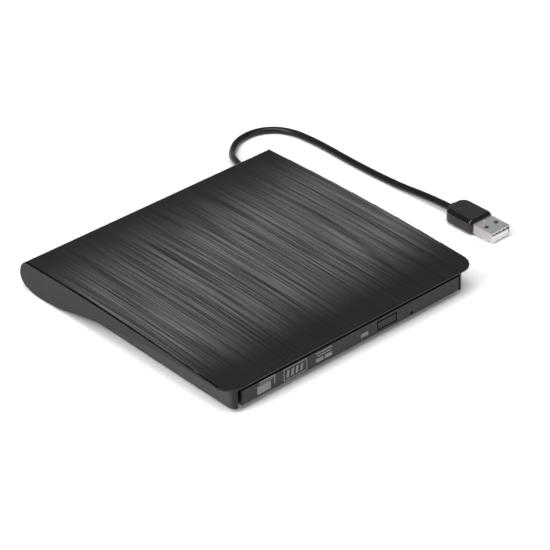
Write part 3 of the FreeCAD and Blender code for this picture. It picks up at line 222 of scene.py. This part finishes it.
def drawn(name, colour, rough=0.3, way=(1, 1, 1), grain=0.3, depth=0.006, spread=0.1):
    """Metal with rolling or drawing lines along the axis whose number in way is small."""
    s = Shader(name)
    s.set(Metallic=1.0)
    lines = s.noise(1.0 / (grain * MM), 4.0, 0.6, s.stretched(way))
    patch = s.noise(110.0, 5.0, 0.6)
    mixed = s.math("ADD", s.math("MULTIPLY", lines, 0.6), s.math("MULTIPLY", patch, 0.4))
    s.plug(s.ramp(mixed, tuple(c * (1 - spread) for c in colour),
                  tuple(min(1.0, c * (1 + spread)) for c in colour)), "Base Color")
    s.plug(s.spread(mixed, rough - 0.08, rough + 0.12), "Roughness")
    s.relief(lines, depth * MM)
    return s.material


def cover_finish():
    """Top cover: hairlines along the drive on the upper face, painted lighter over the middle and
    darker towards the front and rear as painted light and shade, a dark rim with painted shade along
    the sides' sharp edges and a painted highlight on its front edge, and satin sides.
    """
    s = Shader("cover_plastic")
    s.set(IOR=1.5)
    y = s.parts(s.place)[1]
    _, frontward, upward = s.facing()
    fine = s.noise(1.0, 0.0, 0.5, s.stretched((2500.0, 26.0, 60.0)))
    broad = s.noise(1.0, 0.0, 0.5, s.stretched((1900.0, 18.0, 40.0)))
    speck = s.noise(2300.0, 1.0)
    hair = s.math("ADD", s.math("MULTIPLY", fine, 0.40),
                  s.math("ADD", s.math("MULTIPLY", broad, 0.46), s.math("MULTIPLY", speck, 0.14)))
    # the top's hairlines are painted bright over the middle as painted light and painted dim towards
    # the front and rear edges as painted shade
    lit_middle = s.math("MULTIPLY", s.ease(y, -0.062, -0.022), s.ease(y, 0.066, 0.012))
    dark = s.ramp(hair, grey(0.005), grey(0.009), at=(0.36, 0.64))
    lit_hairlines = s.ramp(hair, grey(0.018), grey(0.108), at=(0.42, 0.60))
    top = s.blend(lit_middle, dark, lit_hairlines)
    is_top = s.spread(upward, 0.0, 1.0, 0.975, 0.995)
    not_top = s.math("SUBTRACT", 1.0, is_top)
    is_side = s.math("MULTIPLY", s.spread(s.math("ABSOLUTE", upward), 1.0, 0.0, 0.10, 0.30),
                     s.spread(frontward, 0.0, 1.0, -0.75, -0.35))
    # beside their sharp edges the sides take the rim's dark colour: a painted shade outline
    is_side = s.math("MULTIPLY", is_side, s.math("SUBTRACT", 1.0, s.near_edge(0.8 * MM, 0.99)))
    not_side = s.math("SUBTRACT", 1.0, is_side)
    side_tone = s.ramp(s.noise(90.0, 5.0), grey(0.004), grey(0.007))
    # the cover's front-facing front edge is painted mid grey as a painted highlight line
    lip_highlight = s.math("MULTIPLY", s.spread(frontward, 1.0, 0.0, -0.75, -0.3),
                 s.ease(y, -0.066, -0.070))
    rim = s.blend(is_side, s.blend(lip_highlight, grey(0.0012), grey(0.030)), side_tone)
    s.plug(s.blend(is_top, rim, top), "Base Color")
    rough_top = s.spread(hair, 0.34, 0.50, 0.35, 0.65)
    pebble = s.noise(2600.0, 3.0, 0.6)
    rough_side = s.spread(pebble, 0.40, 0.52)
    rough_rim = s.math("ADD", s.math("MULTIPLY", is_side, rough_side),
                       s.math("MULTIPLY", not_side, 0.14))
    s.plug(s.math("ADD", s.math("MULTIPLY", is_top, rough_top),
                  s.math("MULTIPLY", not_top, rough_rim)), "Roughness")
    height = s.math("ADD", s.math("MULTIPLY", is_top, hair),
                    s.math("MULTIPLY", not_top, s.math("MULTIPLY", pebble, 0.3)))
    s.relief(height, 0.02 * MM)
    # the rim is dull, most of all round the rear roll-over, and shows as a thin dark line
    dull = s.math("MULTIPLY", s.math("MULTIPLY", not_top, not_side),
                  s.spread(s.ease(y, 0.045, 0.058), 0.6, 1.0, 0.0, 1.0))
    s.plug(s.spread(dull, 0.28, 0.02, 0.0, 1.0), "Specular IOR Level")
    return s.material


def shell_finish():
    """Bottom shell: satin sides; faces turned to the front are painted near-black as painted shade, and
    are glossier.
    """
    s = Shader("shell_plastic")
    s.set(IOR=1.5, Specular_IOR_Level=0.28)
    frontward = s.facing()[1]
    # painted shade: faces turned to the front are painted near-black
    front = s.spread(frontward, 1.0, 0.0, -0.8, -0.25)
    satin = s.ramp(s.noise(80.0, 5.0), grey(0.030), grey(0.038))
    s.plug(s.blend(front, satin, grey(0.006)), "Base Color")
    pebble = s.noise(2500.0, 3.0, 0.6)
    s.plug(s.math("SUBTRACT", s.spread(pebble, 0.36, 0.48), s.math("MULTIPLY", front, 0.18)),
           "Roughness")
    s.relief(pebble, 0.006 * MM)
    return s.material


def panel_finish(name, tone):
    """Front panel and button: grained face, with painted shade in the openings, round the button, over
    the release hole and along the upper and lower rounded edges.
    """
    s = Shader(name)
    s.set(IOR=1.5)
    x, _, z = s.parts(s.place)
    _, frontward, upward = s.facing()
    # walls of the openings, but not the panel's own outer edges
    inner = s.math("MULTIPLY", s.math("LESS_THAN", s.math("ABSOLUTE", x), 0.060),
                   s.math("MULTIPLY", s.math("GREATER_THAN", z, 0.0032),
                          s.math("LESS_THAN", z, 0.0108)))
    # painted shade on the walls of the openings
    opening_shade = s.math("MULTIPLY", inner, s.spread(frontward, 0.0, 1.0, -0.9, -0.6))
    # painted shade on faces turned down and on the panel's upper rounding
    edge_shade = s.math("MAXIMUM", s.spread(upward, 1.0, 0.0, -0.75, -0.35),
                   s.spread(upward, 0.0, 1.0, 0.15, 0.45))
    # painted shade: a dark ring in the slot round the button and a dark disc over the release hole
    from_button = s.math("MAXIMUM", s.beyond(x, BUTTON_X * MM, BUTTON_HALF_WIDE * MM),
                         s.beyond(z, BUTTON_Z * MM, BUTTON_HALF_HIGH * MM))
    ring = s.math("MULTIPLY", s.math("GREATER_THAN", from_button, -0.05 * MM),
                  s.math("LESS_THAN", from_button, 0.55 * MM))
    hole_x = s.math("SUBTRACT", x, PINHOLE_X * MM)
    hole_z = s.math("SUBTRACT", z, PINHOLE_Z * MM)
    from_hole = s.math("ADD", s.math("MULTIPLY", hole_x, hole_x), s.math("MULTIPLY", hole_z, hole_z))
    pinhole_shade = s.math("LESS_THAN", from_hole, (PINHOLE_SHADE_RADIUS * MM) ** 2)
    # all the painted shade marks together; they take near-black and little reflection
    painted_shade = s.math("MAXIMUM", s.math("MAXIMUM", opening_shade, edge_shade), s.math("MAXIMUM", ring, pinhole_shade))
    pebble = s.noise(3200.0, 3.0, 0.65)
    drift = s.noise(80.0, 4.0)
    grain = s.math("ADD", s.math("MULTIPLY", pebble, 0.6), s.math("MULTIPLY", drift, 0.4))
    s.plug(s.blend(painted_shade, s.ramp(grain, grey(tone * 0.72), grey(tone * 1.3), at=(0.35, 0.65)),
                   grey(0.001)), "Base Color")
    s.plug(s.spread(grain, 0.38, 0.52, 0.35, 0.65), "Roughness")
    s.plug(s.spread(painted_shade, 0.28, 0.02, 0.0, 1.0), "Specular IOR Level")
    s.relief(pebble, 0.012 * MM)
    return s.material


def plug_finish():
    """Drawn steel of the plug: grey above, and painted darker with a warm tint on its left side as
    painted shade.
    """
    s = Shader("plug_steel")
    s.set(Metallic=1.0)
    lines = s.noise(1.0 / (0.18 * MM), 4.0, 0.6, s.stretched((1, 0.06, 1)))
    x, _, _ = s.facing()
    # painted shade: faces turned to -x get a darker, warm-tinted copy of the steel
    shade_on_flank = s.spread(x, 1.0, 0.0, -0.85, -0.4)
    above = s.ramp(lines, grey(0.78), grey(0.88))
    beside = s.ramp(lines, (0.46, 0.43, 0.45), (0.56, 0.52, 0.54))
    s.plug(s.blend(shade_on_flank, above, beside), "Base Color")
    s.plug(s.spread(s.math("ADD", s.math("MULTIPLY", lines, 0.6),
                           s.math("MULTIPLY", s.noise(110.0, 5.0), 0.4)), 0.34, 0.52), "Roughness")
    s.relief(lines, 0.003 * MM)
    return s.material


def board_finish(name, base, copper):
    """Solder mask over copper runs, with bright vias."""
    s = Shader(name)
    s.set(IOR=1.5, Coat_Weight=0.25, Coat_Roughness=0.15)
    runs = s.cells(420.0, s.stretched((1.0, 0.35, 1.0)))
    veins = s.ramp(runs, copper, base, at=(0.20, 0.28))
    vias = s.ramp(s.cells(900.0), (0.55, 0.45, 0.25), (0, 0, 0), at=(0.10, 0.16))
    s.plug(s.blend(1.0, veins, vias, "LIGHTEN"), "Base Color")
    s.plug(s.spread(s.noise(500.0, 4.0), 0.28, 0.44), "Roughness")
    s.relief(runs, 0.03 * MM)
    return s.material


def ribbon_finish():
    """Flexible flat cable: white film with copper conductors showing through."""
    s = Shader("ribbon")
    s.set(IOR=1.5, Coat_Weight=0.4, Coat_Roughness=0.2)
    x = s.parts(s.place)[0]
    wave = s.math("ABSOLUTE", s.math("SINE", s.math("MULTIPLY", x, 3141.6)))
    s.plug(s.ramp(wave, (0.62, 0.62, 0.58), (0.30, 0.20, 0.12), at=(0.45, 0.8)), "Base Color")
    s.plug(s.spread(s.noise(700.0, 3.0), 0.3, 0.45), "Roughness")
    s.relief(wave, 0.03 * MM)
    return s.material


def clear_finish(name, tint, rough):
    s = Shader(name)
    s.set(IOR=1.49, Transmission_Weight=0.45)
    cloud = s.noise(900.0, 4.0)
    s.plug(s.ramp(cloud, tuple(c * 0.85 for c in tint), tint), "Base Color")
    s.plug(s.spread(cloud, rough, rough + 0.15), "Roughness")
    s.relief(cloud, 0.004 * MM)
    return s.material


FINISH = {
    "cover_plastic": cover_finish(),
    "shell_plastic": shell_finish(),
    "bezel_plastic": panel_finish("bezel_plastic", 0.014),
    "button_plastic": panel_finish("button_plastic", 0.012),
    "tray_plastic": moulded("tray_plastic", grey(0.020), 0.48, 0.45, 0.020, 0.2),
    "cover_black": moulded("cover_black", grey(0.016), 0.38, 0.35, 0.014, 0.2),
    "guide_plastic": moulded("guide_plastic", grey(0.045), 0.40, 0.4, 0.014, 0.15),
    "foot_rubber": moulded("foot_rubber", grey(0.018), 0.78, 0.30, 0.030, 0.25),
    "damper_rubber": moulded("damper_rubber", (0.05, 0.05, 0.055), 0.75, 0.30, 0.030, 0.2),
    "connector_black": moulded("connector_black", grey(0.020), 0.5, 0.3, 0.015, 0.2),
    "chip_black": moulded("chip_black", grey(0.024), 0.55, 0.15, 0.010, 0.2),
    "cord_jacket": moulded("cord_jacket", grey(0.005), 0.30, 0.6, 0.010, 0.2),
    "grip_matte": moulded("grip_matte", grey(0.018), 0.46, 0.30, 0.014, 0.12),
    "grip_side": moulded("grip_side", grey(0.022), 0.42, 0.30, 0.014, 0.12),
    "grip_gloss": moulded("grip_gloss", grey(0.002), 0.14, 0.6, 0.003, 0.2, 0.4),
    "plug_tongue": moulded("plug_tongue", (0.78, 0.78, 0.76), 0.35, 0.5, 0.006, 0.05),
    "lead_insulation": moulded("lead_insulation", (0.30, 0.05, 0.04), 0.42, 0.5, 0.006, 0.15),
    "mark_print": moulded("mark_print", grey(0.19), 0.55, 0.12, 0.008, 0.25),
    "screw_steel": drawn("screw_steel", (0.46, 0.46, 0.47), 0.34, (1, 1, 1), 0.25),
    "sheet_steel": drawn("sheet_steel", (0.60, 0.60, 0.60), 0.32, (1, 0.05, 1), 0.20),
    "rail_steel": drawn("rail_steel", (0.58, 0.58, 0.58), 0.28, (1, 0.04, 1), 0.15),
    "traverse_steel": drawn("traverse_steel", (0.55, 0.55, 0.56), 0.34, (1, 0.2, 1), 0.25),
    "plug_steel": plug_finish(),
    "contact_gold": drawn("contact_gold", (0.80, 0.50, 0.20), 0.25, (1, 0.1, 1), 0.15),
    "stator": drawn("stator", (0.42, 0.25, 0.14), 0.35, (1, 1, 0.2), 0.20),
    "rotor_metal": drawn("rotor_metal", (0.62, 0.62, 0.63), 0.25, (1, 1, 0.2), 0.3),
    "sled_cast": drawn("sled_cast", (0.42, 0.42, 0.43), 0.5, (1, 1, 1), 0.5, 0.02, 0.2),
    "board": board_finish("board", (0.012, 0.060, 0.030), (0.030, 0.120, 0.055)),
    "ribbon": ribbon_finish(),
    "lamp_clear": clear_finish("lamp_clear", (0.26, 0.26, 0.26), 0.35),
    "lens_glass": clear_finish("lens_glass", (0.45, 0.62, 0.85), 0.04),
}


# ---- pieces that keep their CAD shape --------------------------------------------------------------
def dress(node, finish):
    """Gives a CAD node its finish."""
    NODES[node].data.materials.clear()
    NODES[node].data.materials.append(FINISH[finish])


DRESSED = {
    "cover_plastic": ["top_cover"],
    "shell_plastic": ["bottom_shell"],
    "foot_rubber": ["front_feet", "rear_feet"],
    "screw_steel": ["case_screws", "drive_screws", "small_screws", "damper_screws", "lead_screw",
                    "latch_pin", "ejector_spring"],
    "sheet_steel": ["drive_pan", "drive_lid", "traverse_plate", "tray_sheet", "latch_solenoid"],
    "rail_steel": ["rail_left", "rail_right", "guide_rods", "ejector_plunger"],
    "guide_plastic": ["rail_guide_left", "rail_guide_right", "latch_lever", "lead_nut",
                      "ejector_housing", "lens_holder"],
    "board": ["main_board", "bridge_board", "front_board"],
    "chip_black": ["main_board_chips", "bridge_chips"],
    "connector_black": ["ffc_socket", "sata_plug", "bridge_socket", "eject_switch"],
    "ribbon": ["flex_ribbon"],
    "lead_insulation": ["cable_leads"],
    "tray_plastic": ["tray"],
    "bezel_plastic": ["bezel"],
    "button_plastic": ["eject_button"],
    "lamp_clear": ["light_pipe", "status_led"],
    "damper_rubber": ["damper_bushes", "disc_pad_ring"],
    "cover_black": ["traverse_cover", "clamp_jaw_1", "clamp_jaw_2", "clamp_jaw_3"],
    "stator": ["spindle_stator"],
    "rotor_metal": ["spindle_rotor", "sled_motor"],
    "sled_cast": ["pickup_sled"],
    "lens_glass": ["objective_lens"],
    "plug_tongue": ["plug_tongue"],
    "contact_gold": ["plug_contacts"],
    "plug_steel": ["plug_shell"],
}
for finish, names in DRESSED.items():
    for name in names:
        dress(name, finish)


# ---- cord ---------------------------------------------------------------------------------------
ROUTE = [
    (62.52, 75.50, 6.34), (65.6, 84.6, 5.0), (72.4, 94.8, 2.2), (83.5, 103.0, 1.8),
    (97.8, 102.9, 1.8), (108.2, 92.8, 1.8), (110.2, 73.0, 1.8), (109.1, 46.0, 1.8),
    (109.9, 17.0, 1.8), (110.8, -3.0, 3.6), (111.0, -18.0, 4.0),
]
CORD_RADIUS = 1.7
line = bpy.data.curves.new("cord", "CURVE")
line.dimensions = "3D"
line.bevel_depth = CORD_RADIUS * MM
line.bevel_resolution = 8
line.resolution_u = 32
line.use_fill_caps = True
spline = line.splines.new("NURBS")
spline.points.add(len(ROUTE) - 1)
for point, place in zip(spline.points, ROUTE):
    point.co = tuple(c * MM for c in place) + (1,)
spline.order_u = 3
spline.use_endpoint_u = True
line.materials.append(FINISH["cord_jacket"])
cord = bpy.data.objects.new("cord", line)
bpy.context.scene.collection.objects.link(cord)


# ---- mesh pieces ---------------------------------------------------------------------------------
def lofted(name, rings, finishes, pick=None):
    """Skins rings of equal point counts; pick(face) gives the number of the face's finish."""
    mesh = bpy.data.meshes.new(name)
    bm = bmesh.new()
    loops = [[bm.verts.new(tuple(c * MM for c in point)) for point in ring] for ring in rings]
    count = len(loops[0])
    for near, far in zip(loops, loops[1:]):
        for i in range(count):
            j = (i + 1) % count
            bm.faces.new((near[i], near[j], far[j], far[i]))
    bm.faces.new(list(reversed(loops[0])))
    bm.faces.new(loops[-1])
    bmesh.ops.recalc_face_normals(bm, faces=bm.faces)
    for face in bm.faces:
        face.smooth = True
        if pick:
            face.material_index = pick(face)
    bm.to_mesh(mesh)
    bm.free()
    for finish in finishes:
        mesh.materials.append(FINISH[finish])
    piece = bpy.data.objects.new(name, mesh)
    bpy.context.scene.collection.objects.link(piece)
    return piece


def grip_ring(y, half, low, top, chamfer):
    """Eight-cornered section of the plug's grip at y: flat faces and four sloping bands."""
    points = [(half, chamfer), (half - chamfer, 0), (-half + chamfer, 0), (-half, chamfer)]
    lower = [(PLUG_X + dx, y, low + dz) for dx, dz in points]
    upper = [(PLUG_X + dx, y, top - dz) for dx, dz in reversed(points)]
    return lower + upper


GRIP_FINISHES = ["grip_matte", "grip_side", "grip_gloss"]


def grip_pick(face):
    """Matte above and below, satin flanks, and gloss on the ends and the sloping bands."""
    end_on, level = abs(face.normal.y), abs(face.normal.z)
    if end_on > 0.8:
        return GRIP_FINISHES.index("grip_gloss")
    if level > 0.85:
        return GRIP_FINISHES.index("grip_matte")
    if level < 0.25:
        return GRIP_FINISHES.index("grip_side")
    return GRIP_FINISHES.index("grip_gloss")


# y, half width, underside, top and chamfer of the grip's sections, from the cord to the plug's shell
GRIP_SECTIONS = [
    (-18.0, 2.6, 1.4, 6.6, 0.9), (-19.2, 2.7, 1.3, 6.7, 0.9), (-19.3, 3.6, 0.7, 7.3, 1.2),
    (-20.2, 5.3, 0.25, 7.75, 1.4), (-21.6, 6.7, 0.05, 7.95, 1.5), (-23.2, 7.25, 0.0, 8.0, 1.55),
    (-25.0, 7.4, 0.0, 8.0, 1.6), (-36.6, 7.4, 0.0, 8.0, 1.6), (-38.0, 6.5, 0.9, 7.1, 1.2),
]
grip = lofted("grip", [grip_ring(*section) for section in GRIP_SECTIONS], GRIP_FINISHES, grip_pick)
bevel = grip.modifiers.new("edge", "BEVEL")
bevel.width = 0.35 * MM
bevel.segments = 3
bevel.limit_method = "ANGLE"
bevel.angle_limit = math.radians(30.0)
bevel.harden_normals = True
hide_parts("plug_grip")
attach(grip, "case")


def tube_rings(start, end, stops, steps=32):
    """Circles round the line from start to end; stops gives (part of the way, radius)."""
    start, end = Vector(start), Vector(end)
    way = (end - start).normalized()
    side = way.cross(Vector((0, 0, 1))).normalized()
    rise = side.cross(way)
    rings = []
    for part, radius in stops:
        centre = start.lerp(end, part)
        rings.append([tuple(centre + side * (radius * math.cos(a)) + rise * (radius * math.sin(a)))
                      for a in (2 * math.pi * i / steps for i in range(steps))])
    return rings


# ---- generic marks printed on the front panel --------------------------------------------------------
def printed(name, shapes):
    """Thin ink shapes on the front panel, each an outline of (x, z) points in mm."""
    mesh = bpy.data.meshes.new(name)
    bm = bmesh.new()
    for outline in shapes:
        front = [bm.verts.new((x * MM, (PANEL_FRONT - 0.03) * MM, z * MM)) for x, z in outline]
        rear = [bm.verts.new((x * MM, (PANEL_FRONT + 0.02) * MM, z * MM)) for x, z in outline]
        bm.faces.new(front)
        bm.faces.new(list(reversed(rear)))
        for i in range(len(outline)):
            j = (i + 1) % len(outline)
            bm.faces.new((front[j], front[i], rear[i], rear[j]))
    bmesh.ops.recalc_face_normals(bm, faces=bm.faces)
    bm.to_mesh(mesh)
    bm.free()
    mesh.materials.append(FINISH["mark_print"])
    piece = bpy.data.objects.new(name, mesh)
    bpy.context.scene.collection.objects.link(piece)
    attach(piece, "tray")


def bar(x0, x1, z0, z1, lean=0.0):
    """A block between two x and two z, its top pushed sideways by lean."""
    return [(x0, z0), (x1, z0), (x1 + lean, z1), (x0 + lean, z1)]


def frame_bars(x0, x1, z0, z1, wide):
    """Four bars round a rectangle."""
    return [bar(x0, x1, z0, z0 + wide), bar(x0, x1, z1 - wide, z1),
            bar(x0, x0 + wide, z0 + wide, z1 - wide), bar(x1 - wide, x1, z0 + wide, z1 - wide)]


printed("mark_left", [bar(-54.9, -47.4, 4.2, 8.2), bar(-53.6, -44.9, 9.6, 10.2),
                      bar(-45.5, -44.9, 5.6, 9.6), bar(-53.6, -46.4, 8.7, 9.1)])
printed("mark_middle", frame_bars(-40.1, -26.8, 3.7, 9.9, 0.45)
        + [bar(-38.6 + 2.6 * i, -37.3 + 2.6 * i, 5.0, 8.6, 0.5) for i in range(4)])
printed("mark_right", [bar(-21.7, -12.4, 8.9, 9.6), bar(-21.2, -12.9, 7.5, 8.1),
                       bar(-21.7, -17.4, 4.7, 6.5), bar(-16.6, -12.4, 4.7, 6.5)])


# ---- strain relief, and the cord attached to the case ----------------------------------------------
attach(cord, "case")
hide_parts("usb_cable")
RELIEF_MOUTH = (61.0, 71.0, 7.0)
relief = lofted("strain_relief", tube_rings((61.0, 65.6, 7.0), RELIEF_MOUTH, [
    (0.0, 3.3), (0.2, 3.3), (0.24, 2.7), (0.9, 2.7), (1.0, 2.6)]), ["cord_jacket"])
# the ribs of the sleeve shrink towards the cord
sleeve = lofted("strain_sleeve", tube_rings(RELIEF_MOUTH, ROUTE[0], [
    (0.0, 2.65), (0.10, 2.65), (0.12, 2.35), (0.22, 2.35), (0.24, 2.55), (0.38, 2.5), (0.40, 2.2),
    (0.50, 2.2), (0.52, 2.4), (0.66, 2.35), (0.68, 2.1), (0.78, 2.05), (0.80, 2.2), (0.96, 2.1),
    (1.0, 1.9)]), ["cord_jacket"])
for piece in (relief, sleeve):
    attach(piece, "case")
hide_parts("cable_grommet")


# ---- floor and light ------------------------------------------------------------------------------
def floor_finish():
    s = Shader("floor")
    s.set(IOR=1.45, Specular_IOR_Level=0.2)
    cloud = s.noise(3.0, 3.0)
    s.plug(s.ramp(cloud, grey(0.90), grey(0.93)), "Base Color")
    s.plug(s.spread(cloud, 0.7, 0.8), "Roughness")
    return s.material


FINISH["floor"] = floor_finish()
FLOOR_HALF, FLOOR_THICK = 4000, 4
floor_corners = [(-FLOOR_HALF, -FLOOR_HALF), (FLOOR_HALF, -FLOOR_HALF), (FLOOR_HALF, FLOOR_HALF),
                 (-FLOOR_HALF, FLOOR_HALF)]
floor = lofted("floor", [[corner + (z,) for corner in floor_corners] for z in (0, -FLOOR_THICK)],
               ["floor"])


def lamp(name, place, power, wide, tall):
    """A soft rectangular lamp that looks at the origin."""
    data = bpy.data.lights.new(name, "AREA")
    data.energy = power
    data.shape = "RECTANGLE"
    data.size, data.size_y = wide, tall
    light = bpy.data.objects.new(name, data)
    bpy.context.scene.collection.objects.link(light)
    light.location = place
    light.rotation_euler = (-Vector(place)).to_track_quat("-Z", "Y").to_euler()


lamp("key", (-1.5, 0.1, 1.3), 27, 1.0, 1.0)
lamp("fill", (0.5, -1.7, 0.9), 9, 1.2, 0.8)
lamp("overhead", (-0.5, -0.4, 2.0), 34, 1.4, 1.4)
world = bpy.data.worlds.new("world")
bpy.context.scene.world = world
world.use_nodes = True
world.node_tree.nodes["Background"].inputs["Color"].default_value = (1, 1, 1, 1)
world.node_tree.nodes["Background"].inputs["Strength"].default_value = 0.28
bpy.context.scene.view_settings.view_transform = "Standard"
